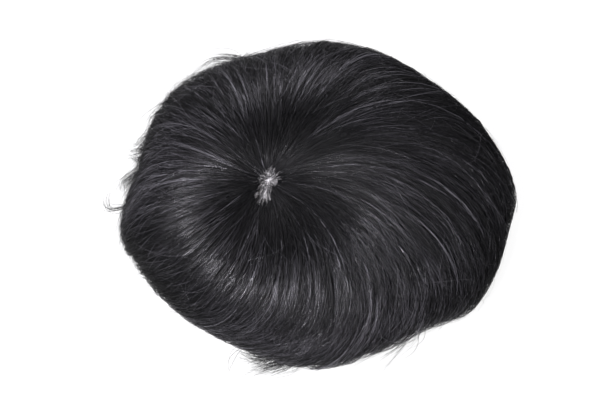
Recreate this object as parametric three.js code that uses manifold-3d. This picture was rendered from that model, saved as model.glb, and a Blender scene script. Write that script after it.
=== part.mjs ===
// A man's toupee with a crown whorl: a domed base cap and five sections of short hair swept round
// it. Millimetres. +X points to the front hairline, +Y to the wearer's left, +Z up.
// The piece lies on z = 0, as it does on a table, with the origin under its middle.
import * as THREE from "three";
import { mergeVertices } from "three/addons/utils/BufferGeometryUtils.js";
import Module from "manifold-3d";

const wasm = await Module();
wasm.setup();

// Base cap
const capLength = 222; // back to front, outside
const capWidth = 182;
const capHeight = 56;
const capWall = 1.2;
const hemWall = 2.2; // the thicker edge that runs round the cap
const hemHeight = 11;
const capSquareness = 2.25; // 2 is an ellipse, more is squarer

// Hair
const topDepth = 12; // hair over the middle of the cap
const crownDepth = 3.2; // hair round the whorl, where it lies flattest
const overhang = 28; // how far the hair reaches past the cap's edge
const bulgeHeight = 16; // the widest line round the hair
const tipCurl = 9; // how far the tips turn in below it
const shoulderFullness = 2.25; // 2 is a round shoulder, more is fuller

// Whorl
const whorlBack = 36; // behind the middle of the cap
const whorlRight = 1; // to the wearer's right of it
const funnelRadius = 45; // of the shallow funnel round the whorl
const partWidth = 9; // the bare gap where the cap shows
const partLength = 28;
const partTurn = 70; // degrees from +X

// Locks
const lockHeight = 3.4;
const lockHeightVariety = 0.25; // how much higher or lower a lock can be, as a share
const lockLengthVariety = 0.05; // how much sooner a lock can end, as a share of the way
const lockWander = 0.6; // how far a lock strays from the flow, as a share of its width
const lockSkew = 0.35; // one edge is higher than the other, so that locks overlap like shingles
const lockSunk = 2; // how deep a lock's underside is sunk in the hair under it
const lockEdgeSunk = 0.6; // and its two edges
const lockFootWidth = 0.8; // the underside's width as a share of the lock's
const lockSwell = 0.8; // under 1 a lock is widest nearer to its root
const lockBluntness = 0.6; // under 1 a lock's ends are blunter

const capClearance = 0.3; // hair to cap
const sectionGap = 0.3; // hair section to hair section

// Where the hair's outline goes round the middle: its reach past the cap, as a share of overhang
const outlineRows = [
  { at: 0, reach: 0.95 },
  { at: 22, reach: 0.5 },
  { at: 45, reach: 0.45 },
  { at: 68, reach: 0.95 },
  { at: 90, reach: 1.15 },
  { at: 112, reach: 0.9 },
  { at: 125, reach: 0.95 },
  { at: 138, reach: 1.05 },
  { at: 150, reach: 0.9 },
  { at: 161, reach: 0.65 },
  { at: 172, reach: 0.5 },
  { at: 182, reach: 0.85 },
  { at: 192, reach: 1.15 },
  { at: 206, reach: 0.9 },
  { at: 225, reach: 0.8 },
  { at: 247, reach: 0.9 },
  { at: 268, reach: 1.15 },
  { at: 292, reach: 0.8 },
  { at: 308, reach: 0.65 },
  { at: 322, reach: 0.95 },
  { at: 338, reach: 0.8 },
  { at: 350, reach: 0.75 },
];

// How far hair that leaves the whorl in one direction has turned when it reaches the rim, in
// degrees. A higher bend keeps the turn for the last stretch.
const sweepRows = [
  { at: 0, turn: -52, bend: 0.9 },
  { at: 30, turn: -62, bend: 0.9 },
  { at: 45, turn: -66, bend: 0.9 },
  { at: 60, turn: -40, bend: 0.9 },
  { at: 75, turn: -15, bend: 1 },
  { at: 90, turn: 3, bend: 1 },
  { at: 105, turn: 11, bend: 1.2 },
  { at: 135, turn: 8, bend: 1.4 },
  { at: 150, turn: 9, bend: 1.5 },
  { at: 165, turn: 11, bend: 1.6 },
  { at: 180, turn: 8, bend: 1.6 },
  { at: 195, turn: -2, bend: 1.8 },
  { at: 210, turn: -13, bend: 2 },
  { at: 240, turn: -32, bend: 2.1 },
  { at: 270, turn: -46, bend: 2 },
  { at: 285, turn: -52, bend: 1.8 },
  { at: 300, turn: -53, bend: 1.5 },
  { at: 330, turn: -53, bend: 1.15 },
];

// The hair sections by the directions between which their hair leaves the whorl. The lift raises
// a section's locks, so that a layer lies on top of its neighbour.
const sectionRows = [
  { name: "hair_top_sweep", from: 7.5, to: 67.5, lift: 1.35 },
  { name: "hair_left_side", from: 67.5, to: 142.5, lift: 0.8 },
  { name: "hair_back", from: 142.5, to: 217.5, lift: 0.9 },
  { name: "hair_right_side", from: 217.5, to: 292.5, lift: 1 },
  { name: "hair_fringe", from: 292.5, to: 367.5, lift: 1.15 },
];

// The layers of locks. Start and end are shares of the way from the whorl to the rim, and offset
// and spread are shares of the space from lock to lock.
const lockLayers = [
  { count: 24, offset: 0, start: 0.1, end: 0.97, spread: 1.15 },
  { count: 25, offset: 0.4, start: 0.4, end: 1, spread: 0.8 },
];

// How finely the shapes are cut
const capSpokes = 40;
const capRings = 8;
const hemStep = 0.012; // share of the way down the cap over which it thickens to the hem
const hairSpokes = 56;
const funnelStations = [0.04, 0.09, 0.15, 0.22]; // shares of the way from the whorl to the rim
const hairStations = [...funnelStations, 0.31, 0.42, 0.54, 0.66, 0.77, 0.86, 0.9, 0.95, 1];
const lockStations = 6;
const lockAcross = [-1, -0.55, 0, 0.55, 1]; // across a lock's top, from edge to edge
const partSides = 20;
const seamStations = 18;
const wallStations = 4; // round the outside of the wall that cuts out a section

// Shares of the way from the middle of the hair to its tips
const bulgeShare = 0.86; // where the hair is widest
const seamEnd = 0.76; // where the seams between the sections begin to run straight

// Shapes that stand on the table are made this much too long, and cut at z = 0
const spare = 5;
const wide = 2 * (capLength + capWidth);

const turnAround = 2 * Math.PI;
const rightAngle = Math.PI / 2;
const mergeDistance = 1e-4;
const { degToRad, radToDeg, lerp, euclideanModulo } = THREE.MathUtils;

function headingOf(angle) {
  return new THREE.Vector2(Math.cos(angle), Math.sin(angle));
}

// The value of a column at an angle in degrees, on a smooth closed curve through the rows
function around(rows, column, degrees) {
  const count = rows.length;
  const angle = euclideanModulo(degrees, 360);
  const row = (rows.findLastIndex((r) => r.at <= angle) + count) % count;
  const near = [-1, 0, 1, 2].map((step) => rows[(row + step + count) % count]);
  const span = euclideanModulo(near[2].at - near[1].at, 360);
  const share = euclideanModulo(angle - near[1].at, 360) / span;
  const curve = new THREE.SplineCurve(near.map((r, i) => new THREE.Vector2(i, r[column])));
  return curve.getPoint((1 + share) / (near.length - 1)).y;
}

// How far the cap's edge is from its middle
function capReach(angle, inset = 0) {
  const lengthwise = Math.abs(Math.cos(angle)) / (capLength / 2 - inset);
  const sideways = Math.abs(Math.sin(angle)) / (capWidth / 2 - inset);
  const sum = Math.pow(lengthwise, capSquareness) + Math.pow(sideways, capSquareness);
  return Math.pow(sum, -1 / capSquareness);
}

// A point on the cap, at a share of the way from its top down to its edge. A cap that is smaller
// by an inset is its inside.
function capPoint(share, angle, inset = 0) {
  const tilt = share * rightAngle;
  const out = headingOf(angle).multiplyScalar(capReach(angle, inset) * Math.sin(tilt));
  const rise = Math.pow(Math.max(Math.cos(tilt), 0), 2 / capSquareness);
  return new THREE.Vector3(out.x, out.y, (capHeight - inset) * rise);
}

// The height of the cap over a point of the plan
function capTop(x, y) {
  const angle = Math.atan2(y, x);
  const share = Math.asin(Math.min(Math.hypot(x, y) / capReach(angle), 1)) / rightAngle;
  return capPoint(share, angle).z;
}

// The hair's reach from the middle. Near the middle it follows an ellipse, which keeps the dome
// smooth there, and towards the rim it follows the outline.
function hairReach(share, angle) {
  const lengthwise = Math.cos(angle) / (capLength / 2 + overhang);
  const sideways = Math.sin(angle) / (capWidth / 2 + overhang);
  const ellipse = 1 / Math.hypot(lengthwise, sideways);
  const outline = capReach(angle) + overhang * around(outlineRows, "reach", radToDeg(angle));
  return lerp(ellipse, outline, share * share);
}

// The hair's outer form before the funnel round the whorl. The place is in a disc of radius 1,
// whose middle is the top of the dome and whose rim is the tips on the table.
function domePoint(place) {
  const share = Math.min(place.length(), 1);
  const angle = place.angle();
  const upper = Math.min(share / bulgeShare, 1) * rightAngle;
  const lower = (Math.max(share - bulgeShare, 0) / (1 - bulgeShare)) * rightAngle;
  const reach = hairReach(share, angle) * Math.sin(upper) - tipCurl * (1 - Math.cos(lower));
  const rise = Math.pow(Math.max(Math.cos(upper), 0), 2 / shoulderFullness);
  const dome = (capHeight + topDepth - bulgeHeight) * rise;
  const out = headingOf(angle).multiplyScalar(reach);
  return new THREE.Vector3(out.x, out.y, dome + bulgeHeight * (1 - Math.sin(lower)));
}

// The place in the disc over a point of the plan, found in steps. It is above the bulge.
function discPlace(x, y) {
  const steps = 8;
  const angle = Math.atan2(y, x);
  let share = 0;
  for (let step = 0; step < steps; step++) {
    const out = Math.min(Math.hypot(x, y) / hairReach(share, angle), 1);
    share = (Math.asin(out) / rightAngle) * bulgeShare;
  }
  return headingOf(angle).multiplyScalar(share);
}

const whorlPlace = discPlace(-whorlBack, -whorlRight);
const funnelDepth = domePoint(whorlPlace).z - capTop(-whorlBack, -whorlRight) - crownDepth;

// A point on the hair's outer form
function hairPoint(place) {
  const point = domePoint(place);
  const away = Math.hypot(point.x + whorlBack, point.y + whorlRight) / funnelRadius;
  point.z -= funnelDepth * Math.exp(-away * away);
  return point;
}

// The place in the disc that lies straight from the whorl, at a share of the way to the rim
function placeToward(angle, share) {
  const heading = headingOf(angle);
  const along = whorlPlace.dot(heading);
  const toRim = Math.sqrt(along * along + 1 - whorlPlace.lengthSq()) - along;
  return heading.multiplyScalar(share * toRim).add(whorlPlace);
}

// The place that hair has reached when it left the whorl in the direction start, in degrees
function flowPlace(start, share) {
  const bend = around(sweepRows, "bend", start);
  const turned = around(sweepRows, "turn", start) * Math.pow(share, bend);
  return placeToward(degToRad(start + turned), share);
}

function flowPoint(start, share) {
  return hairPoint(flowPlace(start, share));
}

// The direction straight out of the hair at a point of the flow
function flowNormal(start, share) {
  const step = 0.01;
  const before = flowPoint(start, Math.max(share - step, step / 2));
  const along = flowPoint(start, Math.min(share + step, 1)).sub(before);
  const sideways = flowPoint(start + 1, share).sub(flowPoint(start - 1, share));
  return along.cross(sideways).normalize();
}

// A closed surface through rings of points, from a single point to a single point. Each ring runs
// anticlockwise when it is looked at from the ring before it.
function loft(rings) {
  const firsts = rings.map((_, i) => rings.slice(0, i).flat().length);
  const faces = [];
  for (let r = 0; r + 1 < rings.length; r++) {
    const here = rings[r].length;
    const next = rings[r + 1].length;
    const sides = Math.max(here, next);
    for (let i = 0; i < sides; i++) {
      const j = (i + 1) % sides;
      const [a, b] = [firsts[r] + (i % here), firsts[r] + (j % here)];
      const [c, d] = [firsts[r + 1] + (i % next), firsts[r + 1] + (j % next)];
      if (here > 1) faces.push(a, d, b);
      if (next > 1) faces.push(a, c, d);
    }
  }
  return new THREE.BufferGeometry().setFromPoints(rings.flat()).setIndex(faces);
}

// The solid inside a closed surface
function solidOf(geometry) {
  const bare = new THREE.BufferGeometry();
  bare.setAttribute("position", geometry.getAttribute("position"));
  bare.setIndex(geometry.index);
  const merged = mergeVertices(bare, mergeDistance);
  return new wasm.Manifold(
    new wasm.Mesh({
      numProp: 3,
      vertProperties: merged.attributes.position.array,
      triVerts: new Uint32Array(merged.index.array),
    }),
  );
}

function geometryOf(solid) {
  const mesh = solid.getMesh();
  const points = Array.from({ length: mesh.numVert }, (_, i) =>
    new THREE.Vector3().fromArray(mesh.vertProperties, i * mesh.numProp),
  );
  const geometry = new THREE.BufferGeometry().setFromPoints(points);
  geometry.setIndex(new THREE.BufferAttribute(mesh.triVerts, 1));
  geometry.computeVertexNormals();
  return geometry;
}

// The solid under a surface whose last ring is on the table, down to a floor below it
function standing(rings, floor) {
  const foot = rings.at(-1).map((p) => new THREE.Vector3(p.x, p.y, floor));
  return solidOf(loft([...rings, foot, [new THREE.Vector3(0, 0, floor)]]));
}

// The share of the way down the cap where the hem begins
const hemShare = Math.acos(Math.pow(hemHeight / capHeight, capSquareness / 2)) / rightAngle;

// The space under a dome like the cap. Its inset can change on the way down.
function capSpace(insetAt, floor) {
  const shares = Array.from({ length: capRings }, (_, i) => ((i + 1) / capRings) * hemShare);
  const rings = [...shares, hemShare + hemStep, 1].map((share) =>
    Array.from({ length: capSpokes }, (_, i) =>
      capPoint(share, (i / capSpokes) * turnAround, insetAt(share)),
    ),
  );
  return standing([[capPoint(0, 0, insetAt(0))], ...rings], floor);
}

function makeCap() {
  const outside = capSpace(() => 0, -spare);
  const inside = capSpace((share) => (share > hemShare ? hemWall : capWall), -2 * spare);
  const overTable = new THREE.BoxGeometry(wide, wide, wide).translate(0, 0, wide / 2);
  return outside.subtract(inside).intersect(solidOf(overTable));
}

function makeHairForm() {
  const rings = hairStations.map((share) =>
    Array.from({ length: hairSpokes }, (_, i) =>
      hairPoint(placeToward((i / hairSpokes) * turnAround, share)),
    ),
  );
  return standing([[hairPoint(whorlPlace)], ...rings], -spare);
}

// A number from -1 to 1 that differs from lock to lock, and is the same each time
function vary(index, salt) {
  const goldenShare = 0.618034;
  return 2 * euclideanModulo((index + 1) * goldenShare * salt, 1) - 1;
}

// How wide and high a lock is along its length, as a share: it narrows to both ends
function lockTaper(share) {
  return Math.pow(Math.sin(Math.PI * Math.pow(share, lockSwell)), lockBluntness);
}

// One lock: a lens-shaped strand that lies along the flow on both sides of the line from start
function makeLock({ index, start, width }, layer, lift) {
  const end = layer.end - (lockLengthVariety / 2) * (1 + vary(index, 1));
  const height = lockHeight * lift * (1 + lockHeightVariety * vary(index, 2));
  const wander = (lockWander / 2) * width * vary(index, 3);
  const over = (at, share, rise) =>
    flowPoint(at, share).addScaledVector(flowNormal(at, share), rise);
  const stations = Array.from({ length: lockStations + 1 }, (_, s) => {
    const share = lerp(layer.start, end, s / lockStations);
    const middle = start + wander * share;
    if (s === 0 || s === lockStations) return [over(middle, share, -lockSunk / 2)];
    const taper = lockTaper(s / lockStations);
    const half = (width / 2) * layer.spread * taper;
    const top = lockAcross.map((u) => {
      const hump = height * taper * (1 - u * u) * (1 + lockSkew * u);
      return over(middle + u * half, share, hump - lockEdgeSunk * u * u);
    });
    const underside = [lockFootWidth, -lockFootWidth].map((u) =>
      over(middle + u * half, share, -lockSunk),
    );
    return [...top, ...underside];
  });
  return solidOf(loft(stations));
}

// Where a layer's locks leave the whorl, in degrees, and how wide each is there. Half of their
// spacing goes by the direction at the whorl and half by that at the rim, so that more of them
// leave where the hair fans out.
function lockPlaces(layer) {
  const fan = (start) => start + around(sweepRows, "turn", start) / 2;
  const starts = Array.from({ length: layer.count }, (_, i) => {
    const aim = fan(0) + ((i + layer.offset) * 360) / layer.count;
    let start = 0;
    while (fan(start + 1) < aim) start++;
    return start + (aim - fan(start)) / (fan(start + 1) - fan(start));
  });
  return starts.map((start, index) => {
    const before = starts[(index + layer.count - 1) % layer.count];
    const after = starts[(index + 1) % layer.count];
    return { index, start, width: euclideanModulo(after - before, 360) / 2 };
  });
}

// A layer's locks that reach into a section
function sectionLocks(layer, section) {
  const reaches = ({ start, width }) =>
    euclideanModulo(start - section.from + width, 360) < section.to - section.from + 2 * width;
  return lockPlaces(layer).filter(reaches).map((lock) => makeLock(lock, layer, section.lift));
}

// The line in plan along which two sections meet, moved half a gap to one side. It begins inside
// the bare gap at the whorl, where the seams are already apart, and ends outside the hair.
function seamLine(start, side) {
  const nearby = 0.02;
  const reached = flowPoint(start, nearby).distanceTo(flowPoint(start, 0));
  const first = (nearby * partWidth) / 4 / reached;
  const line = [];
  for (let i = 0; i < seamStations; i++) {
    const place = flowPlace(start, lerp(first, 1, i / (seamStations - 1)));
    if (place.length() > seamEnd) break;
    const point = hairPoint(place);
    line.push(new THREE.Vector2(point.x, point.y));
  }
  const onward = line.at(-1).clone().sub(line.at(-2)).setLength(2 * overhang);
  line.push(line.at(-1).clone().add(onward));
  return line.map((point, i) => {
    const along = line[Math.min(i + 1, line.length - 1)].clone().sub(line[Math.max(i - 1, 0)]);
    const across = new THREE.Vector2(-along.y, along.x).setLength((side * sectionGap) / 2);
    return point.clone().add(across);
  });
}

// An upright block over the part of the plan between two seams
function sectionSpace(from, to) {
  const first = seamLine(from, 1);
  const second = seamLine(to, -1);
  const begin = first.at(-1).angle();
  const turn = euclideanModulo(second.at(-1).angle() - begin, turnAround);
  const outer = Array.from({ length: wallStations - 1 }, (_, i) =>
    headingOf(begin + (turn * (i + 1)) / wallStations).multiplyScalar(wide),
  );
  const outline = new THREE.Shape([...first, ...outer, ...second.reverse()]);
  return solidOf(new THREE.ExtrudeGeometry(outline, { depth: wide, bevelEnabled: false }));
}

// The bare gap at the whorl, where the cap shows between the hair's roots
function partSpace() {
  const gap = new THREE.CylinderGeometry(1, 1, wide, partSides).rotateX(rightAngle);
  gap.scale(partLength / 2, partWidth / 2, 1).rotateZ(degToRad(partTurn));
  return solidOf(gap.translate(-whorlBack, -whorlRight, 0));
}

function makeSection(section, form, hollows) {
  const locks = lockLayers.flatMap((layer) => sectionLocks(layer, section));
  const whole = wasm.Manifold.union([form, ...locks]).subtract(hollows);
  return whole.intersect(sectionSpace(section.from, section.to));
}

function node(name, solid, material) {
  const mesh = new THREE.Mesh(geometryOf(solid), material);
  mesh.name = name;
  return mesh;
}

const capMaterial = new THREE.MeshStandardMaterial({ color: 0xd6d0c8, roughness: 0.8 });
const hairMaterial = new THREE.MeshStandardMaterial({ color: 0x1c1c1e, roughness: 0.42 });

const toupee = new THREE.Group();
toupee.add(node("base_cap", makeCap(), capMaterial));

const hairForm = makeHairForm();
const hollows = capSpace(() => -capClearance, -2 * spare).add(partSpace());
for (const section of sectionRows) {
  const solid = makeSection(section, hairForm, hollows);
  toupee.add(node(section.name, solid, hairMaterial.clone()));
}

// The outline isn't even all round, so the whole is moved to have its middle over the origin
const middle = new THREE.Box3().setFromObject(toupee).getCenter(new THREE.Vector3());
for (const piece of toupee.children) piece.position.set(-middle.x, -middle.y, 0);

export default toupee;
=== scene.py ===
"""A man's toupee with a crown whorl, dressed for a studio photograph.

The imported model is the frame. Its base cap and its five hair sections are solids, and here each
is replaced: the cap by a thin domed shell with a mesh ground and a hem, and each hair section by
a dark mass under loose strands. The hair follows the same outline and the same swirl as the
solids do, so their measures are repeated below. They are millimetres and degrees, and the plan's
middle is the middle of the cap. +X is the front, +Y the wearer's left and +Z up.
"""

import math

import bpy
import numpy as np
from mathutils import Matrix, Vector


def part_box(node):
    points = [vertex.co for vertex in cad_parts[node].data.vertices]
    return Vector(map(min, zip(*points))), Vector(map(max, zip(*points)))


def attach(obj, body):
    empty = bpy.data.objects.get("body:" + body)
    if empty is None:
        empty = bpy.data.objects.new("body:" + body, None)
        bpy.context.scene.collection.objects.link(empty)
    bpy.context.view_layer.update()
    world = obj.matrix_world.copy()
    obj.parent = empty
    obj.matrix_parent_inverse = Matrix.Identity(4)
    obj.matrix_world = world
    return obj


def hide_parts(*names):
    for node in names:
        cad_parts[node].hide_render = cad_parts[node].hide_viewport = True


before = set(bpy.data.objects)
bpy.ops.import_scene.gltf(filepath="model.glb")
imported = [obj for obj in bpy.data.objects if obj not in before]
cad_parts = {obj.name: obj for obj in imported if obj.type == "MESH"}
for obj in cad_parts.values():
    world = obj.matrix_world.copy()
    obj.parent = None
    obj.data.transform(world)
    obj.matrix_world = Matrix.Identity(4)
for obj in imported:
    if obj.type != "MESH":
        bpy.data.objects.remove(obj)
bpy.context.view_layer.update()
STRAND_SHARE = 1.0

MM = 0.001

# The cap
CAP_LENGTH, CAP_WIDTH, CAP_HEIGHT = 222.0, 182.0, 56.0
CAP_WALL, HEM_WALL, HEM_HEIGHT = 1.2, 2.2, 11.0
CAP_SQUARENESS = 2.25

# The hair
TOP_DEPTH, CROWN_DEPTH = 12.0, 3.2
OVERHANG = 28.0
BULGE_HEIGHT, TIP_CURL = 16.0, 9.0
SHOULDER_FULLNESS = 2.25
BULGE_SHARE = 0.86
WHORL = np.array([-36.0, -1.0])
FUNNEL_RADIUS = 45.0
PART_LENGTH, PART_WIDTH, PART_TURN = 28.0, 9.0, 70.0

# Round the middle: direction, reach past the cap as a share of the overhang
REACH = 1
OUTLINE = np.array([
    (0, 0.95), (22, 0.5), (45, 0.45), (68, 0.95), (90, 1.15), (112, 0.9), (125, 0.95), (138, 1.05),
    (150, 0.9), (161, 0.65), (172, 0.5), (182, 0.85), (192, 1.15), (206, 0.9), (225, 0.8), (247, 0.9),
    (268, 1.15), (292, 0.8), (308, 0.65), (322, 0.95), (338, 0.8), (350, 0.75),
])
# Round the whorl: direction in which hair leaves it, how far it has turned at the rim, and bend
TURN, BEND = 1, 2
SWEEP = np.array([
    (0, -52, 0.9), (30, -62, 0.9), (45, -66, 0.9), (60, -40, 0.9), (75, -15, 1), (90, 3, 1),
    (105, 11, 1.2), (135, 8, 1.4), (150, 9, 1.5), (165, 11, 1.6), (180, 8, 1.6), (195, -2, 1.8),
    (210, -13, 2), (240, -32, 2.1), (270, -46, 2), (285, -52, 1.8), (300, -53, 1.5),
    (330, -53, 1.15),
])
# Where the hair's surface rises or falls between its big locks: the direction from the whorl, half
# the width in degrees, the shares of the way to the rim where it begins and ends, and the height
RIDGES = np.array([
    (55, 6, 0.06, 0.9, 2.2), (43, 6, 0.0, 0.55, -3.2), (27, 8, 0.02, 0.65, 2.4),
    (66, 6, 0.12, 0.7, -2.0), (14, 6, 0.15, 0.7, -1.0), (3, 6, 0.15, 0.8, 0.8),
    (340, 6, 0.25, 0.95, -0.8), (322, 7, 0.3, 0.95, 0.9), (285, 6, 0.3, 0.95, -0.5),
    (255, 7, 0.2, 0.9, 0.4), (222, 6, 0.25, 0.95, -0.4), (182, 7, 0.2, 0.9, 0.9),
    (155, 6, 0.25, 0.9, -0.8), (122, 7, 0.15, 0.9, 0.8), (95, 6, 0.2, 0.9, -0.8),
    (19, 2.2, 0.06, 0.7, -2.2), (9, 2.2, 0.1, 0.75, -2.0), (359, 2.2, 0.1, 0.8, -2.2),
    (350, 2.5, 0.1, 0.8, -1.6), (332, 2.2, 0.15, 0.85, -1.6), (313, 2.2, 0.2, 0.9, -1.4),
    (36, 2.2, 0.1, 0.8, -1.8), (302, 2.2, 0.2, 0.9, -1.2),
])
# Painted shade and painted highlight on the hair. A lower tone makes strands darker and duller, a
# higher one lighter and shinier. The columns: the direction from the whorl, half the width in
# degrees, the share of the way to the rim, half the length as a share, and the change of tone
PAINTED_LIGHT = np.array([
    (85, 26, 0.2, 0.12, -0.3), (290, 42, 0.2, 0.12, -0.25), (0, 24, 0.3, 0.16, -0.35),
    (174, 18, 0.55, 0.2, 0.45), (303, 16, 0.65, 0.16, -0.1), (340, 18, 0.6, 0.16, 0.25),
    (54, 5, 0.11, 0.05, -0.6), (43, 6, 0.17, 0.07, -0.8), (35, 6, 0.26, 0.09, -0.8),
    (67, 7, 0.3, 0.2, -0.3), (56, 4, 0.2, 0.1, 0.4), (56, 12, 0.6, 0.2, -0.3),
    (29, 6, 0.12, 0.06, 0.3), (24, 6, 0.21, 0.07, 0.3), (16, 5, 0.3, 0.06, 0.2),
    (150, 12, 0.25, 0.14, 0.2), (195, 14, 0.22, 0.1, 0.15),
    (40, 30, 0.85, 0.3, -0.35), (88, 24, 0.38, 0.13, 0.42),
    (222, 26, 0.66, 0.2, -0.55), (268, 26, 0.42, 0.12, 0.3),
    (47, 9, 0.13, 0.08, -0.4),
])
# Where more tips stand out past the rim than elsewhere: the direction from the whorl, half the width
# in degrees, how many more, and how many millimetres further
FRINGES = [
    (163, 16, 5.0, 2.4), (132, 20, 5.0, 1.9), (104, 12, 3.0, 1.4), (193, 8, 1.5, 0.8),
    (308, 12, 2.0, 2.0), (0, 12, 1.0, 1.0),
]
# Wisps that stand out further: the direction of the hair that they belong to, how many hairs, how
# far apart their tips are, and the points of the middle line
WISPS = [
    (147, 60, 5.0, [(-115, 39, 14), (-121, 40, 12), (-129, 41, 9), (-137, 41, 6)]),
    (151, 66, 4.5, [(-117, 52, 14), (-122, 51, 12), (-129, 47, 9), (-135, 43, 6)]),
    (155, 40, 4.0, [(-117, 25, 14), (-124, 30, 12), (-132, 35, 9), (-139, 39, 6)]),
    (155, 80, 5.5, [(-116, 25, 16), (-126, 23, 13), (-135, 20, 9), (-140, 15, 6), (-138, 8, 4)]),
    (185, 18, 2.3, [(-124, 0, 14), (-137, -3, 10), (-147, -4, 6), (-152, -1, 4), (-153, 6, 3),
                    (-151, 13, 3)]),
    (103, 34, 3.5, [(-51, 103, 16), (-56, 112, 12), (-66, 117, 8), (-77, 117, 6), (-86, 113, 5),
                    (-93, 106, 5)]),
    (305, 130, 7.0, [(-14, -108, 16), (-22, -114, 12), (-34, -118, 7), (-50, -120, 3)]),
    (301, 90, 6.0, [(-20, -105, 16), (-31, -111, 11), (-43, -113, 6), (-55, -110, 4)]),
    (306, 40, 5.0, [(-14, -110, 14), (-16, -116, 10), (-22, -119, 6), (-36, -121, 3)]),
    (294, 2, 2.0, [(-24, -93, 24), (-19, -102, 18), (-15, -114, 10), (-9, -125, 2)]),
    (356, 14, 6.0, [(68, -92, 16), (64, -99, 10), (55, -106, 5), (43, -115, 2)]),
    (350, 10, 5.0, [(57, -97, 16), (55, -103, 10), (46, -110, 5), (37, -116, 2)]),
    (294, 3, 5.0, [(-50, -104, 10), (-58, -109, 6), (-62, -115, 3), (-65, -122, 1)]),
]
# Hairs that lie across the rest, coloured light grey as painted highlight: the direction from the
# whorl, half the spread in degrees, where they begin and end as shares, how many degrees they turn,
# how much that differs, and how many
CROSSINGS = [
    (308, 10, 0.45, 0.85, -4, 10, 90), (298, 7, 0.5, 0.8, 12, 9, 40),
    (318, 7, 0.5, 0.85, -14, 8, 40), (254, 2, 0.1, 0.27, 0, 3, 9),
    (300, 18, 0.16, 0.36, 0, 14, 12), (20, 1, 0.2, 0.42, -5, 1, 1), (150, 10, 0.2, 0.7, 4, 8, 50),
    (177, 15, 0.3, 0.8, 3, 7, 90), (225, 20, 0.35, 0.75, 0, 7, 70), (265, 20, 0.4, 0.8, 0, 7, 70),
    (340, 15, 0.35, 0.85, 2, 8, 90), (2, 18, 0.14, 0.5, -2, 7, 140), (50, 16, 0.15, 0.8, 2, 6, 40),
    (105, 25, 0.3, 0.85, 0, 8, 50),
]
# The hair's sections, each with the directions between which its hair leaves the whorl
SECTIONS = [
    ("hair_top_sweep", 7.5, 67.5),
    ("hair_left_side", 67.5, 142.5),
    ("hair_back", 142.5, 217.5),
    ("hair_right_side", 217.5, 292.5),
    ("hair_fringe", 292.5, 367.5),
]

cap_low, cap_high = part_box("base_cap")
MIDDLE = np.array([(cap_low.x + cap_high.x) / 2, (cap_low.y + cap_high.y) / 2, 0]) / MM


# The hair's form and flow


def cubic(a, b, c, d, u):
    """A place between b and c on the smooth curve through four values or points."""
    return b + 0.5 * u * (c - a + u * (2 * a - 5 * b + 4 * c - d + u * (3 * (b - c) + d - a)))


def around(rows, column, degrees):
    """The value of a column at each angle, on a smooth closed curve through the rows."""
    at, value, count = rows[:, 0], rows[:, column], len(rows)
    angle = np.mod(degrees, 360.0)
    i = np.mod(np.searchsorted(at, angle, side="right") - 1, count)
    span = np.mod(at[(i + 1) % count] - at[i], 360.0)
    u = np.mod(angle - at[i], 360.0) / span
    return cubic(value[i - 1], value[i], value[(i + 1) % count], value[(i + 2) % count], u)


def curve_through(points, shares):
    """Points on a smooth curve through the given ones, at shares of the way along it."""
    points = np.array(points, float)
    ends = np.concatenate([
        2 * points[:1] - points[1:2], points, 2 * points[-1:] - points[-2:-1]
    ])
    place = np.clip(shares, 0, 1) * (len(points) - 1)
    i = np.minimum(place.astype(int), len(points) - 2)
    return cubic(ends[i], ends[i + 1], ends[i + 2], ends[i + 3], (place - i)[..., None])


def cap_reach(angle, inset=0.0):
    along = np.abs(np.cos(angle)) / (CAP_LENGTH / 2 - inset)
    across = np.abs(np.sin(angle)) / (CAP_WIDTH / 2 - inset)
    return (along**CAP_SQUARENESS + across**CAP_SQUARENESS) ** (-1 / CAP_SQUARENESS)


def cap_point(share, angle, inset=0.0):
    tilt = share * math.pi / 2
    out = cap_reach(angle, inset) * np.sin(tilt)
    rise = np.maximum(np.cos(tilt), 0) ** (2 / CAP_SQUARENESS)
    return np.stack([out * np.cos(angle), out * np.sin(angle), (CAP_HEIGHT - inset) * rise], -1)


def cap_top(x, y):
    out = np.minimum(np.hypot(x, y) / cap_reach(np.arctan2(y, x)), 1)
    tilt = np.arcsin(out)
    return CAP_HEIGHT * np.maximum(np.cos(tilt), 0) ** (2 / CAP_SQUARENESS)


def hair_reach(share, angle):
    along = np.cos(angle) / (CAP_LENGTH / 2 + OVERHANG)
    across = np.sin(angle) / (CAP_WIDTH / 2 + OVERHANG)
    ellipse = 1 / np.hypot(along, across)
    outline = cap_reach(angle) + OVERHANG * around(OUTLINE, REACH, np.degrees(angle))
    return ellipse + (outline - ellipse) * share**2


def dome_point(x, y):
    """A point on the hair over a place in the unit disc."""
    share = np.minimum(np.hypot(x, y), 1)
    angle = np.arctan2(y, x)
    upper = np.minimum(share / BULGE_SHARE, 1) * math.pi / 2
    lower = np.maximum(share - BULGE_SHARE, 0) / (1 - BULGE_SHARE) * math.pi / 2
    out = hair_reach(share, angle) * np.sin(upper) - TIP_CURL * (1 - np.cos(lower))
    rise = np.maximum(np.cos(upper), 0) ** (2 / SHOULDER_FULLNESS)
    up = (CAP_HEIGHT + TOP_DEPTH - BULGE_HEIGHT) * rise + BULGE_HEIGHT * (1 - np.sin(lower))
    return np.stack([out * np.cos(angle), out * np.sin(angle), up], -1)


def disc_place(x, y):
    angle, share = np.arctan2(y, x), 0.0
    for _ in range(8):
        out = min(math.hypot(x, y) / hair_reach(share, angle), 1)
        share = math.asin(out) / (math.pi / 2) * BULGE_SHARE
    return np.array([share * math.cos(angle), share * math.sin(angle)])


WHORL_PLACE = disc_place(*WHORL)
FUNNEL_DEPTH = float(dome_point(*WHORL_PLACE)[2] - cap_top(*WHORL) - CROWN_DEPTH)


def hair_point(x, y):
    point = dome_point(x, y)
    away = np.hypot(point[..., 0] - WHORL[0], point[..., 1] - WHORL[1]) / FUNNEL_RADIUS
    point[..., 2] -= FUNNEL_DEPTH * np.exp(-away * away)
    return point


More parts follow.
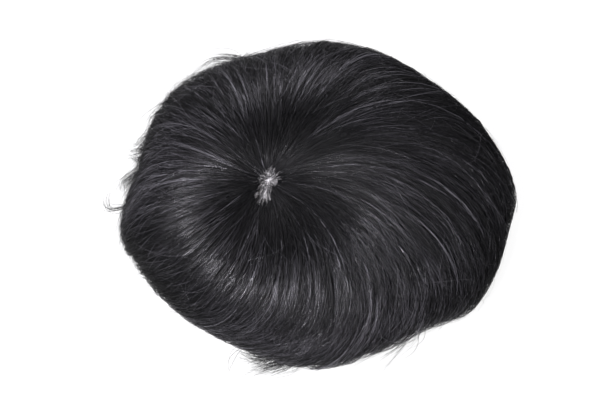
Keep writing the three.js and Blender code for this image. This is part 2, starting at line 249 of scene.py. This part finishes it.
def flow_point(start, share):
    """A point on the hair, on the line that leaves the whorl in the direction start, at a share
    of the way to the rim."""
    bend = around(SWEEP, BEND, start)
    angle = np.radians(start + around(SWEEP, TURN, start) * share**bend)
    cos, sin = np.cos(angle), np.sin(angle)
    along = WHORL_PLACE[0] * cos + WHORL_PLACE[1] * sin
    to_rim = -along + np.sqrt(along**2 + 1 - (WHORL_PLACE**2).sum())
    return hair_point(WHORL_PLACE[0] + share * to_rim * cos, WHORL_PLACE[1] + share * to_rim * sin)


def flow_normal(start, share):
    step = 0.01
    before, after = np.maximum(share - step, step / 2), np.minimum(share + step, 1)
    along = flow_point(start, after) - flow_point(start, before)
    aside = flow_point(start + 1, share) - flow_point(start - 1, share)
    return unit(np.cross(along, aside))


def unit(vectors):
    return vectors / np.maximum(np.linalg.norm(vectors, axis=-1, keepdims=True), 1e-9)


def smooth(low, high, x):
    u = np.clip((x - low) / (high - low), 0, 1)
    return u * u * (3 - 2 * u)


def near(degrees, at, width):
    """1 at an angle, falling to nothing within a few widths of it."""
    apart = (degrees - at + 180) % 360 - 180
    return np.exp(-((apart / width) ** 2))


def ridge_height(start, share):
    """How far the big locks raise or lower the hair's surface, in millimetres."""
    total = 0.0
    for at, width, first, last, height in RIDGES:
        window = smooth(first, first + 0.22, share) * (1 - smooth(last - 0.35, last, share))
        total = total + height * near(start, at, width) * window
    return total


def painted_light_tone(start, share):
    """The change of tone at a place on the hair: painted shade where it is lowered, painted highlight
    where it is raised.
    """
    total = 0.0
    for at, width, middle, length, change in PAINTED_LIGHT:
        total = total + change * near(start, at, width) * np.exp(-(((share - middle) / length) ** 2))
    return total


def part_edge(start):
    """How far the bare gap reaches from the whorl in a direction, in millimetres. It is the
    model's oval, fuller at its sides and shorter at its front end."""
    turn = np.radians(start - PART_TURN)
    oval = 1 / np.hypot(np.cos(turn) * 2 / PART_LENGTH, np.sin(turn) * 2 / PART_WIDTH)
    sides = near(start, PART_TURN + 90, 32) + near(start, PART_TURN - 90, 32)
    return oval * (1 + 0.45 * sides - 0.35 * near(start, PART_TURN, 30))


NEARBY = 0.05
DIRECTIONS = np.arange(0.0, 360.0, 5.0)
FIRST_STEP = flow_point(DIRECTIONS, np.full_like(DIRECTIONS, NEARBY)) - flow_point(
    DIRECTIONS, np.zeros_like(DIRECTIONS)
)
SHARE_PER_MM = NEARBY / np.linalg.norm(FIRST_STEP, axis=-1)


def share_at(start, distance):
    """The share of the way to the rim at a distance from the whorl, close to it."""
    return np.interp(np.mod(start, 360), DIRECTIONS, SHARE_PER_MM, period=360) * distance


# Meshes


def make_object(name, points, faces, sides, loops_uv=None, values=None):
    """A mesh object from numpy arrays: points in plan millimetres, faces as one flat list of
    corners, how many sides each face has, and named values at the points."""
    mesh = bpy.data.meshes.new(name)
    mesh.vertices.add(len(points))
    mesh.vertices.foreach_set("co", ((points + MIDDLE) * MM).astype(np.float32).ravel())
    mesh.loops.add(len(faces))
    mesh.loops.foreach_set("vertex_index", faces.astype(np.int32))
    starts = np.concatenate([[0], np.cumsum(sides)[:-1]]).astype(np.int32)
    mesh.polygons.add(len(sides))
    mesh.polygons.foreach_set("loop_start", starts)
    mesh.update(calc_edges=True)
    mesh.validate()
    mesh.polygons.foreach_set("use_smooth", np.ones(len(mesh.polygons), bool))
    if loops_uv is not None:
        layer = mesh.uv_layers.new(name="OFBake")
        layer.data.foreach_set("uv", loops_uv.astype(np.float32).ravel())
    for key, numbers in (values or {}).items():
        layer = mesh.attributes.new(key, "FLOAT", "POINT")
        layer.data.foreach_set("value", numbers.astype(np.float32))
    made = bpy.data.objects.new(name, mesh)
    bpy.context.scene.collection.objects.link(made)
    return made


CELL_MARGIN = 0.12


def tubes(name, paths, radii, lean, tone):
    """Many thin tapered tubes of three sides in one mesh. paths is strands by points by 3, radii
    strands by points, lean the outward direction at each point and tone strands by points."""
    count, stations = paths.shape[:2]
    along = unit(np.gradient(paths, axis=1))
    aside = unit(np.cross(lean, along))
    over = np.cross(along, aside)
    turns = np.radians([90.0, 210.0, 330.0])
    ring = [aside * math.cos(a) + over * math.sin(a) for a in turns]
    points = paths[:, :, None, :] + radii[:, :, None, None] * np.stack(ring, 2)
    sides = len(turns)
    index = np.arange(count * stations * sides).reshape(count, stations, sides)
    here, there = index[:, :-1], index[:, 1:]
    quads = np.stack([here, np.roll(here, -1, 2), np.roll(there, -1, 2), there], -1)
    quads = quads.reshape(count, -1)
    ends = np.concatenate([index[:, 0, ::-1], index[:, -1]], 1)
    faces = np.concatenate([quads, ends], 1)
    kinds = np.concatenate([np.full((stations - 1) * sides, 4), [3, 3]])
    # each strand has a cell of its own in the texture, with its length along U
    grid = int(math.ceil(math.sqrt(count)))
    cell = np.stack([np.arange(count) % grid, np.arange(count) // grid], -1) / grid
    u = np.linspace(CELL_MARGIN, 1 - CELL_MARGIN, stations)
    v = np.linspace(CELL_MARGIN, 1 - CELL_MARGIN, sides + 1)
    a, b = np.meshgrid(np.arange(stations - 1), np.arange(sides), indexing="ij")
    corner_u = np.stack([u[a], u[a], u[a + 1], u[a + 1]], -1)
    corner_v = np.stack([v[b], v[b + 1], v[b + 1], v[b]], -1)
    local = np.stack([corner_u, corner_v], -1).reshape(-1, 2)
    caps = [(end, place) for end in (CELL_MARGIN, 1 - CELL_MARGIN) for place in (0.2, 0.5, 0.8)]
    local = np.concatenate([local, np.array(caps)]) / grid
    uv = (cell[:, None, :] + local[None]).reshape(-1, 2)
    tones = {"tone": np.repeat(tone.ravel(), sides)}
    return make_object(
        name, points.reshape(-1, 3), faces.ravel(), np.tile(kinds, count), uv, tones
    )


def shell(name, outer, inner, closed, values=None):
    """A closed wall between two grids of points, rows by columns. A closed one joins its last
    row to its first."""
    rows, columns = outer.shape[:2]
    points = np.concatenate([outer.reshape(-1, 3), inner.reshape(-1, 3)])
    index = np.arange(rows * columns).reshape(rows, columns)
    under = index + rows * columns
    if closed:
        index, under = np.vstack([index, index[:1]]), np.vstack([under, under[:1]])

    def strip(a, b, c, d):
        return np.stack([a, b, c, d], -1).reshape(-1, 4)

    quads = [
        strip(index[:-1, :-1], index[:-1, 1:], index[1:, 1:], index[1:, :-1]),
        strip(under[:-1, :-1], under[1:, :-1], under[1:, 1:], under[:-1, 1:]),
        strip(index[:-1, 0], index[1:, 0], under[1:, 0], under[:-1, 0]),
        strip(index[1:, -1], index[:-1, -1], under[:-1, -1], under[1:, -1]),
    ]
    if not closed:
        quads += [
            strip(index[0, 1:], index[0, :-1], under[0, :-1], under[0, 1:]),
            strip(index[-1, :-1], index[-1, 1:], under[-1, 1:], under[-1, :-1]),
        ]
    faces = np.concatenate(quads)
    return make_object(name, points, faces.ravel(), np.full(len(faces), 4), values=values)


def wear(piece, material, slot, *nodes):
    """Gives a piece its material, hides the model's parts that it replaces and puts it under the root
    body.
    """
    piece.data.materials.append(material)
    if nodes:
        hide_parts(*nodes)
    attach(piece, "root")


# Materials


class Nodes:
    """A material's node tree, built a node at a time."""

    def __init__(self, name):
        self.material = bpy.data.materials.new(name)
        self.material.use_nodes = True
        self.tree = self.material.node_tree
        self.shader = self.tree.nodes["Principled BSDF"]

    def add(self, kind, **values):
        node = self.tree.nodes.new("ShaderNode" + kind)
        for key, value in values.items():
            if key in node.inputs:
                node.inputs[key].default_value = value
            else:
                setattr(node, key.lower(), value)
        return node

    def link(self, source, target):
        self.tree.links.new(source, target)

    def multiply(self, first, second):
        """Two colours multiplied. A Mix node's colour sockets are the sixth and seventh, counted
        from 0, and its colour result is the second."""
        node = self.add("Mix", data_type="RGBA", blend_type="MULTIPLY")
        node.inputs["Factor"].default_value = 1.0
        self.link(first, node.inputs[6])
        self.link(second, node.inputs[7])
        return node.outputs[2]

    def ramp(self, source, stops):
        node = self.add("ValToRGB")
        elements = node.color_ramp.elements
        while len(elements) < len(stops):
            elements.new(0.5)
        for element, (position, colour) in zip(elements, stops):
            element.position = position
            element.color = (*colour, 1)
        self.link(source, node.inputs["Fac"])
        return node.outputs["Color"]


def hair_material():
    """Near-black hair. The tone of a strand sets its colour and how sharply it shines. The top of the
    ramp colours strands light grey, which is painted highlight.
    """
    m = Nodes("dark_hair")
    tone = m.add("Attribute", attribute_name="tone")
    colour = m.ramp(tone.outputs["Fac"], [
        (0.0, (0.0010, 0.0010, 0.0012)),
        (0.5, (0.0020, 0.0020, 0.0024)),
        (0.75, (0.0110, 0.0107, 0.0120)),
        # the two lightest stops are painted highlight
        (0.9, (0.0600, 0.0585, 0.0640)),
        (1.0, (0.1800, 0.1760, 0.1900)),
    ])
    m.link(colour, m.shader.inputs["Base Color"])
    gloss = m.add("MapRange")
    gloss.inputs["To Min"].default_value = 0.66
    gloss.inputs["To Max"].default_value = 0.13
    m.link(tone.outputs["Fac"], gloss.inputs["Value"])
    m.link(gloss.outputs["Result"], m.shader.inputs["Roughness"])
    m.shader.inputs["IOR"].default_value = 1.5
    return m.material


def mass_material():
    """The depth of the hair, with streaks that run along it."""
    m = Nodes("dark_hair_under")
    start = m.add("Attribute", attribute_name="start")
    share = m.add("Attribute", attribute_name="share")
    place = m.add("CombineXYZ")
    m.link(start.outputs["Fac"], place.inputs["X"])
    m.link(share.outputs["Fac"], place.inputs["Y"])
    streaks = m.add("TexNoise", Scale=2.2, Detail=3.0)
    m.link(place.outputs["Vector"], streaks.inputs["Vector"])
    colour = m.ramp(streaks.outputs["Fac"], [
        (0.35, (0.0012, 0.0012, 0.0015)), (0.65, (0.0022, 0.0022, 0.0027)),
        (0.8, (0.005, 0.0049, 0.006)),
    ])
    m.link(colour, m.shader.inputs["Base Color"])
    bump = m.add("Bump", Strength=0.7, Distance=0.0006)
    m.link(streaks.outputs["Fac"], bump.inputs["Height"])
    m.link(bump.outputs["Normal"], m.shader.inputs["Normal"])
    m.shader.inputs["Roughness"].default_value = 0.6
    m.shader.inputs["Specular IOR Level"].default_value = 0.3
    return m.material


def cap_material():
    """Pale mesh ground with the dark dots of the knots that hold the hair."""
    m = Nodes("cap_ground")
    place = m.add("TexCoord")
    knots = m.add("TexVoronoi", Scale=620.0, Randomness=0.25)
    m.link(place.outputs["Object"], knots.inputs["Vector"])
    dots = m.ramp(knots.outputs["Distance"], [
        (0.10, (0.22, 0.21, 0.205)), (0.2, (0.86, 0.845, 0.835)),
    ])
    patches = m.add("TexNoise", Scale=140.0, Detail=4.0)
    m.link(place.outputs["Object"], patches.inputs["Vector"])
    wear_tint = m.ramp(patches.outputs["Fac"], [
        (0.3, (0.86, 0.86, 0.86)), (0.7, (1.0, 1.0, 1.0)),
    ])
    m.link(m.multiply(dots, wear_tint), m.shader.inputs["Base Color"])
    weave = m.add("TexVoronoi", feature="DISTANCE_TO_EDGE", Scale=900.0, Randomness=0.1)
    m.link(place.outputs["Object"], weave.inputs["Vector"])
    bump = m.add("Bump", Strength=0.35, Distance=0.0004)
    m.link(weave.outputs["Distance"], bump.inputs["Height"])
    m.link(bump.outputs["Normal"], m.shader.inputs["Normal"])
    m.shader.inputs["Roughness"].default_value = 0.72
    return m.material


def hem_material():
    m = Nodes("cap_hem")
    place = m.add("TexCoord")
    noise = m.add("TexNoise", Scale=400.0, Detail=5.0)
    m.link(place.outputs["Object"], noise.inputs["Vector"])
    colour = m.ramp(noise.outputs["Fac"], [(0.3, (0.52, 0.46, 0.40)), (0.7, (0.64, 0.58, 0.52))])
    m.link(colour, m.shader.inputs["Base Color"])
    bump = m.add("Bump", Strength=0.3, Distance=0.0003)
    m.link(noise.outputs["Fac"], bump.inputs["Height"])
    m.link(bump.outputs["Normal"], m.shader.inputs["Normal"])
    m.shader.inputs["Roughness"].default_value = 0.5
    return m.material


def floor_material():
    m = Nodes("white_table")
    place = m.add("TexCoord")
    noise = m.add("TexNoise", Scale=12.0, Detail=3.0)
    m.link(place.outputs["Object"], noise.inputs["Vector"])
    colour = m.ramp(noise.outputs["Fac"], [(0.3, (0.11, 0.11, 0.11)), (0.7, (0.12, 0.12, 0.12))])
    m.link(colour, m.shader.inputs["Base Color"])
    m.shader.inputs["Roughness"].default_value = 0.85
    m.shader.inputs["Emission Color"].default_value = (1, 1, 1, 1)
    m.shader.inputs["Emission Strength"].default_value = 0.95
    return m.material


# The base cap


CAP_TURNS, STITCH_TURNS = 140, 240
CAP_LOW = 0.02  # the height of the rim over the table
STITCH_RADIUS, STITCH_LOW = 0.28, 0.6


def make_cap():
    angle = np.linspace(0, 2 * math.pi, CAP_TURNS, endpoint=False)[:, None]
    hem_share = math.acos((HEM_HEIGHT / CAP_HEIGHT) ** (CAP_SQUARENESS / 2)) / (math.pi / 2)
    share = np.concatenate([
        np.linspace(0.0005, hem_share - 0.02, 46),
        hem_share + np.array([-0.012, -0.006, -0.002, 0.002, 0.006, 0.012]),
        np.linspace(hem_share + 0.03, 1.0, 8),
    ])[None, :]
    share, angle = np.broadcast_arrays(share, angle)
    wall = CAP_WALL + (HEM_WALL - CAP_WALL) * smooth(hem_share - 0.004, hem_share + 0.008, share)
    uneven = 0.12 * np.sin(23 * angle) * np.sin(19 * share * math.pi)
    outer = cap_point(share, angle)
    inner = cap_point(share, angle, wall)
    inner[..., 2] -= uneven * (inner[..., 2] > HEM_HEIGHT)
    outer[..., 2] = np.maximum(outer[..., 2], CAP_LOW)
    inner[..., 2] = np.maximum(inner[..., 2], CAP_LOW)
    cap = shell("cap_ground", outer, inner, closed=True)
    wear(cap, cap_material(), "base_cap", "base_cap")
    # stitched binding along the inside of the hem
    turn = np.linspace(0, 2 * math.pi, STITCH_TURNS + 1)
    paths = np.stack([
        cap_point(np.full_like(turn, row), turn, HEM_WALL + 0.05)
        for row in (hem_share + 0.022, 0.975)
    ])
    paths[..., 2] = np.maximum(paths[..., 2], STITCH_LOW)
    lean = unit(-paths * np.array([1, 1, 0]))
    radii, tone = np.full(paths.shape[:2], STITCH_RADIUS), np.ones(paths.shape[:2])
    stitch = tubes("cap_hem_stitching", paths, radii, lean, tone)
    wear(stitch, hem_material(), "base_cap")


# The dark mass under the strands

MASS_DEPTH = 2.4  # how far it lies under the hair's form
MASS_SETBACK = 5.5  # from the edge of the bare gap
MASS_OVER_CAP = 0.5
MASS_LEAST = 0.2
MASS_LOW = 0.4  # the height of its underside over the table


def make_mass(section, first, last, material):
    rows, columns = max(int((last - first) / 1.6), 8), 52
    start = np.linspace(first, last, rows)[:, None]
    begin = share_at(start, part_edge(start) + MASS_SETBACK)
    share = begin + (1 - begin) * np.linspace(0, 1, columns)[None, :] ** 0.9
    start = start + 0 * share
    outer = flow_point(start, share)
    normal = flow_normal(start, share)
    depth = MASS_DEPTH + 0.5 * (1 - smooth(0, 0.06, share - begin)) - ridge_height(start, share)
    outer = outer - normal * depth[..., None]
    x, y = outer[..., 0], outer[..., 1]
    angle, out = np.arctan2(y, x), np.hypot(x, y)
    edge = cap_reach(angle) + MASS_OVER_CAP
    over_cap = out < edge - MASS_OVER_CAP - 0.1
    ground = np.where(over_cap, cap_top(x, y) + MASS_OVER_CAP, MASS_LOW)
    outer[..., 2] = np.maximum(outer[..., 2], ground + MASS_LEAST)
    tip = out[:, -1:]
    beyond = smooth(0, 1, np.clip((share - 0.75) / 0.25, 0, 1))
    low = edge + (tip - edge) * beyond * 0.9
    inner = np.stack([
        np.where(over_cap, x, low * np.cos(angle)),
        np.where(over_cap, y, low * np.sin(angle)),
        ground,
    ], -1)
    flow = {"start": np.tile(start.ravel(), 2), "share": np.tile(share.ravel(), 2)}
    mass = shell(section + "_mass", outer, inner, closed=False, values=flow)
    wear(mass, material, "hair", section)


# Strands

rng = np.random.default_rng(20)
STATIONS = 9
S = np.linspace(0, 1, STATIONS)[None, :]  # shares of the way along a strand
LOCKS = 280
TRESS = 3  # strands that lie close together and shine alike
ROOT_DEPTH = 2.6  # how far under the hair's form a strand has its root, away from the whorl
WHORL_TRESSES = 0.3  # the share of the tresses that have their roots round the bare gap
STRAND_LOW = 0.35  # the least height over the table


def fan_starts(count):
    """Directions in which hair leaves the whorl, with more where it fans out."""
    grid = np.linspace(0, 360, 721)
    fan = grid + 0.5 * around(SWEEP, TURN, grid)
    return np.interp(fan[0] + 360 * (np.arange(count) + 0.5) / count, fan, grid)


class Locks:
    """The locks that the hair gathers into. A strand of a lock keeps to its way over the form."""

    def __init__(self, count):
        self.start = fan_starts(count)[rng.permutation(count)]
        self.drift = rng.normal(0, 3.4, count)
        self.phase = rng.uniform(0, 2 * math.pi, count)
        self.wave = rng.normal(0, 1.1, count)
        self.level = rng.uniform(-0.7, 0.7, count)
        self.length = rng.uniform(-1, 1, count)
        self.tone = rng.uniform(0, 1, count)
        self.gather = rng.uniform(0.2, 0.75, count)
        self.width = rng.uniform(0.8, 2.0, count)

    def way(self, which, share):
        """The direction of a lock's middle line at shares of the way to the rim."""
        drift = self.drift[which, None] * share**1.5
        wave = self.wave[which, None] * np.sin(self.phase[which, None] + 5 * share) * share
        return self.start[which, None] + drift + wave


locks = Locks(LOCKS)


def lay(at, share, height, radius, aside=0.0):
    """Strands over the form. at, share and height are strands by points: the direction from the
    whorl, the share of the way to the rim, and the height over the hair's form. aside moves a
    strand sideways by millimetres."""
    height = height + ridge_height(at, share)
    normal = flow_normal(at, share)
    paths = flow_point(at, share)
    sideways = unit(np.cross(normal, np.gradient(paths, axis=1)))
    paths = paths + normal * height[..., None] + sideways * np.reshape(aside, (-1, 1, 1))
    paths[..., 2] = np.maximum(paths[..., 2], STRAND_LOW)
    taper = np.interp(S[0], [0, 0.12, 0.65, 1], [0.6, 1, 0.9, 0.2])
    return paths, radius[:, None] * taper[None, :], normal


def painted_root_shade(tones):
    """The tone along a strand: it is darker and shines less where it comes up from under the rest,
    which is painted shade.
    """
    return np.maximum(tones, 0) * (0.15 + 0.85 * smooth(0.05, 0.35, S))


def body_hair(count):
    """The hair that covers the piece, rooted all over the cap and reaching to the rim. It lies in
    tresses, and the tresses gather into locks."""
    tresses = count // TRESS
    which = rng.integers(0, LOCKS, tresses)
    spread = rng.uniform(0, 1, tresses)
    edge = share_at(locks.start[which], part_edge(locks.start[which]))
    further = np.maximum(spread - WHORL_TRESSES, 0)
    begin = edge * rng.uniform(0.95, 3.1, tresses) + 0.55 * further**1.1
    length = 0.64 + 0.1 * locks.length[which] + rng.normal(0, 0.08, tresses)
    side = rng.normal(0, 1, tresses)
    across = side * locks.width[which] * (1 + 0.8 * (begin < 0.2))
    own = rng.normal(0, 1.4, tresses) * (1 + 3.0 * (rng.uniform(0, 1, tresses) < 0.25))
    deep = rng.uniform(0, 1, tresses) ** 0.9
    lie = 0.9 * np.exp(-side**2) + locks.level[which] - 2.0 * deep - 0.3
    by_whorl = spread < WHORL_TRESSES
    root = np.where(by_whorl, 0.5 - CROWN_DEPTH, -ROOT_DEPTH)
    tip = rng.normal(-0.2, 0.6, tresses)
    ripple, ripples = rng.normal(0, 0.8, tresses), rng.uniform(9, 18, tresses)
    phase = rng.uniform(0, 2 * math.pi, tresses)
    radius = rng.uniform(0.13, 0.28, tresses)
    # deeper tresses get a lower tone, darker and duller: painted shade
    tone = 0.5 - 0.45 * deep + 0.5 * (locks.tone[which] - 0.5) + rng.normal(0, 0.35, tresses)
    of = np.repeat(np.arange(tresses), TRESS)  # the tress that each strand belongs to
    strands = len(of)
    begin = begin[of] * rng.uniform(0.94, 1.06, strands)
    end = np.clip(begin + length[of] + rng.normal(0, 0.03, strands), 0.55, 1.0)
    end = end - 0.08 * rng.uniform(0, 1, strands) ** 2
    share = begin[:, None] + (end - begin)[:, None] * S
    gather = 1 - locks.gather[which[of], None] * share
    fray = rng.normal(0, 0.7, strands)[:, None] * S**2
    at = locks.way(which[of], share) + across[of, None] * gather + own[of, None] * S**1.5 + fray
    lie = lie[of] + rng.normal(0, 0.12, strands)
    height = root[of, None] + (lie - root[of])[:, None] * smooth(0, 0.4, S) + tip[of, None] * S**3
    wave = np.sin(phase[of, None] + ripples[of, None] * share) * smooth(0.1, 0.4, S)
    # in front of the whorl the hair is looser, with more shadow between its strands
    loose = 1.2 * near(at, 5, 32) * np.exp(-(((share - 0.28) / 0.18) ** 2))
    height = height + ripple[of, None] * wave * (1 + loose) - 0.8 * loose * deep[of, None]
    tone = tone[of] + rng.normal(0, 0.06, strands)
    # painted shade and painted highlight: the listed zones, and strands darker in the valleys between
    # the locks and lighter on their crests
    tones = tone[:, None] + painted_light_tone(at, share) + 0.06 * ridge_height(at, share)
    shown = 0.7 * np.maximum(tones, 0) + 0.3 * painted_root_shade(tones)
    tones = np.where(by_whorl[of, None], shown, painted_root_shade(tones))
    return at, lay(at, share, height, radius[of], rng.normal(0, 0.22, strands)), tones


def painted_glint_hair(count):
    """Single glossy hairs on top of the locks, coloured light grey as painted highlight."""
    which = rng.integers(0, LOCKS, count)
    begin = 0.06 + 0.7 * rng.uniform(0, 1, count) ** 1.1
    end = np.minimum(begin + rng.uniform(0.12, 0.5, count), 0.99)
    share = begin[:, None] + (end - begin)[:, None] * S
    across = rng.normal(0, 2.5, count)
    own = rng.normal(0, 5, count)
    at = locks.way(which, share) + across[:, None] + own[:, None] * S**1.3
    level = rng.uniform(0.2, 1.0, count)
    height = -0.8 + (level + 0.8)[:, None] * np.sin(np.pi * S**0.8) ** 0.6
    radius = rng.uniform(0.09, 0.17, count)
    # the painted shade of the table dims them as well
    tone = rng.uniform(0.84, 1.0, count)[:, None] + 0.8 * np.minimum(painted_light_tone(at, share), 0)
    return at, lay(at, share, height, radius), painted_root_shade(tone)


def stray_hair(count):
    """Hairs that stand off the rest and cross it. The lightest of them are coloured light grey as
    painted highlight.
    """
    begin = 0.06 + 0.6 * rng.uniform(0, 1, count)
    end = np.minimum(begin + rng.uniform(0.12, 0.45, count), 1.0)
    share = begin[:, None] + (end - begin)[:, None] * S
    turn, wave = rng.normal(0, 16, count), rng.normal(0, 3.0, count)
    phase = rng.uniform(0, 2 * math.pi, count)
    at = rng.uniform(0, 360, count)[:, None] + turn[:, None] * S**1.2
    at = at + wave[:, None] * np.sin(phase[:, None] + 5 * S)
    level = rng.uniform(0.4, 1.6, count)
    lift = rng.gamma(1.6, 1.0, count)
    height = -1.2 + (level + 1.2)[:, None] * smooth(0, 0.3, S) + lift[:, None] * S**3
    radius = rng.uniform(0.08, 0.13, count)
    return at, lay(at, share, height, radius), painted_root_shade(rng.uniform(0.6, 1.0, count)[:, None])


def crossing_hair():
    """Hairs that lie across the rest at listed places, coloured light grey as painted highlight."""
    rows = np.repeat(np.array(CROSSINGS, float), [row[-1] for row in CROSSINGS], 0)
    rows = rows[: int(len(rows) * STRAND_SHARE)]
    middle, spread, first, last, turn, differs, _ = rows.T
    many = len(rows)
    begin = first + rng.uniform(0, 0.35, many) * (last - first)
    end = last - rng.uniform(0, 0.35, many) * (last - first)
    share = begin[:, None] + (end - begin)[:, None] * S
    bend = (turn + rng.normal(0, 1, many) * differs)[:, None] * S**1.2
    at = (middle + rng.normal(0, 1, many) * spread)[:, None] + bend
    height = -0.6 + 1.6 * np.sin(np.pi * S**0.9) ** 0.7 + rng.uniform(0, 0.8, many)[:, None] * S
    radius = rng.uniform(0.08, 0.14, many)
    return at, lay(at, share, height, radius), painted_root_shade(rng.uniform(0.85, 1.0, many)[:, None])


def whorl_hair(count):
    """Short thin roots that cross the pale cap at the whorl before they join the rest."""
    start = rng.uniform(0, 360, count)
    begin = share_at(start, part_edge(start)) * rng.uniform(0.0, 0.9, count)
    end = begin + rng.uniform(0.12, 0.3, count)
    share = begin[:, None] + (end - begin)[:, None] * S
    lean = rng.normal(0, 24, count)
    at = start[:, None] + lean[:, None] * (1 - S) ** 2
    aside = rng.normal(0, 2.2, count)
    level = rng.uniform(-1.2, 0.2, count)
    root = 0.25 - CROWN_DEPTH
    height = root + (level - root)[:, None] * smooth(0, 0.7, S)
    radius = rng.uniform(0.06, 0.1, count)
    tone = np.repeat(rng.uniform(0.1, 0.9, count)[:, None], STATIONS, 1)
    return at, lay(at, share, height, radius, aside), tone


def rim_hair(count):
    """Tips that stand out a little past the rim all round."""
    weight = 1 + sum(w * near(np.arange(360.0), at, width) for at, width, w, _ in FRINGES)
    start = rng.choice(360, count, p=weight / weight.sum()) + rng.uniform(-0.5, 0.5, count)
    reach = 1.3 + sum(r * near(start, at, width) for at, width, _, r in FRINGES)
    begin = rng.uniform(0.3, 0.6, count)
    end = np.minimum(begin + rng.uniform(0.25, 0.45, count), rng.uniform(0.74, 0.92, count))
    share = begin[:, None] + (end - begin)[:, None] * S
    turn = rng.normal(0, 7, count)
    at = start[:, None] + turn[:, None] * S**1.5
    height = -1.0 + 1.4 * smooth(0, 0.3, S)
    radius = rng.uniform(0.08, 0.15, count)
    paths, radii, lean = lay(at, share, height, radius)
    out = unit(paths * np.array([1, 1, 0]))
    aside = np.cross(out, np.array([0.0, 0.0, 1.0]))
    length = (reach * rng.gamma(2.2, 0.5, count))[:, None] * S**2.4
    curl = rng.normal(0.25, 0.7, count)[:, None] * length * S**3
    drop = rng.uniform(-0.2, 0.7, count)[:, None] * length * S**2
    paths = paths + out * (length - 0.3 * np.abs(curl))[..., None] + aside * curl[..., None]
    paths[..., 2] = np.maximum(paths[..., 2] - drop, STRAND_LOW)
    return at, (paths, radii, lean), painted_root_shade(rng.uniform(0.1, 0.9, count)[:, None])


def wisp_hair():
    """The hairs of the wisps. They lie close at the root and stray apart towards their tips."""
    groups = []
    for start, hairs, spread, line in WISPS:
        hairs = max(int(hairs * STRAND_SHARE), 1)
        paths = curve_through(line, rng.uniform(0.55, 1.0, hairs)[:, None] * S)
        size = (hairs, 1, 3)
        stray = rng.normal(0, spread / 2, size) * (S**1.2)[..., None]
        bow = rng.normal(0, spread / 3, size) * np.sin(np.pi * S)[..., None]
        root = rng.normal(0, 1.2, size)
        paths = paths + (stray + bow) * np.array([1, 1, 0.3]) + root
        paths[..., 2] = np.maximum(paths[..., 2], STRAND_LOW)
        taper = np.interp(S[0], [0, 0.6, 1], [1, 0.9, 0.4])
        radii = rng.uniform(0.10, 0.17, hairs)[:, None] * taper
        lean = np.zeros(paths.shape) + np.array([0.0, 0.0, 1.0])
        tone = np.repeat(rng.uniform(0.1, 0.7, hairs)[:, None], STATIONS, 1)
        groups.append((np.full((hairs, STATIONS), float(start)), (paths, radii, lean), tone))
    return groups


def join(groups):
    """The strands of all the groups as one: their directions, what lay() gives, and tones."""
    starts = np.concatenate([g[0][:, 0] for g in groups])
    laid = [np.concatenate([g[1][k] for g in groups]) for k in range(3)]
    tones = np.clip(np.concatenate([g[2] for g in groups]), 0, 1)
    return starts, laid, tones


KINDS = [
    (body_hair, 11400), (painted_glint_hair, 2900), (stray_hair, 420), (whorl_hair, 480),
    (rim_hair, 1560),
]
MOST_STRANDS = 3600  # a piece stays under 200,000 triangles


def make_strands(material):
    groups = [make(int(count * STRAND_SHARE)) for make, count in KINDS]
    groups += [crossing_hair()] + wisp_hair()
    starts, (paths, radii, lean), tones = join(groups)
    for name, first, last in SECTIONS:
        own = np.flatnonzero(np.mod(starts - first, 360) < last - first)
        for part, group in enumerate(np.array_split(own, len(own) // MOST_STRANDS + 1), 1):
            piece = tubes(
                f"{name}_strands_{part}", paths[group], radii[group], lean[group], tones[group]
            )
            wear(piece, material, "hair", name)


# Studio


def make_floor():
    mesh = bpy.data.meshes.new("table_top")
    half, top = 8.0, -0.0002
    corners = [(-half, -half, top), (half, -half, top), (half, half, top), (-half, half, top)]
    mesh.from_pydata(corners, [], [(0, 1, 2, 3)])
    floor = bpy.data.objects.new("table_top", mesh)
    floor.data.materials.append(floor_material())
    bpy.context.scene.collection.objects.link(floor)


def area_light(name, place, target, size, watts):
    data = bpy.data.lights.new(name, "AREA")
    data.shape, data.size, data.size_y, data.energy = "RECTANGLE", size[0], size[1], watts
    data.color = (0.95, 0.925, 1.0)
    light = bpy.data.objects.new(name, data)
    light.location = Vector(place)
    light.rotation_euler = (Vector(target) - Vector(place)).to_track_quat("-Z", "Y").to_euler()
    bpy.context.scene.collection.objects.link(light)


def make_lights():
    middle = (0, 0, 0.03)
    area_light("key", (-0.45, -0.47, 1.08), middle, size=(0.32, 0.32), watts=20)
    area_light("back", (0.0, 1.0, 0.8), middle, size=(1.2, 0.5), watts=9.5)
    world = bpy.data.worlds.new("studio")
    world.use_nodes = True
    world.node_tree.nodes["Background"].inputs["Color"].default_value = (1, 1, 1, 1)
    world.node_tree.nodes["Background"].inputs["Strength"].default_value = 0.04
    bpy.context.scene.world = world


CAMERA_TILT = 68.0  # degrees above the table
CAMERA_TARGET = (-0.014, -0.0018, 0.020)  # metres from the cap's middle
CAMERA_DISTANCE = 1.0


def make_camera():
    data = bpy.data.cameras.new("camera")
    data.lens, data.sensor_width = 85, 36
    camera = bpy.data.objects.new("camera", data)
    target = Vector(CAMERA_TARGET) + Vector(MIDDLE * MM)
    up = math.radians(CAMERA_TILT)
    back = Vector((0, -math.cos(up), math.sin(up)))
    camera.location = target + back * CAMERA_DISTANCE
    camera.rotation_euler = (-back).to_track_quat("-Z", "Y").to_euler()
    bpy.context.scene.collection.objects.link(camera)
    bpy.context.scene.camera = camera


make_camera()
make_floor()
make_lights()
bpy.context.scene.view_settings.view_transform = "Standard"

make_cap()
under = mass_material()
for section, first, last in SECTIONS:
    make_mass(section, first, last, under)
make_strands(hair_material())
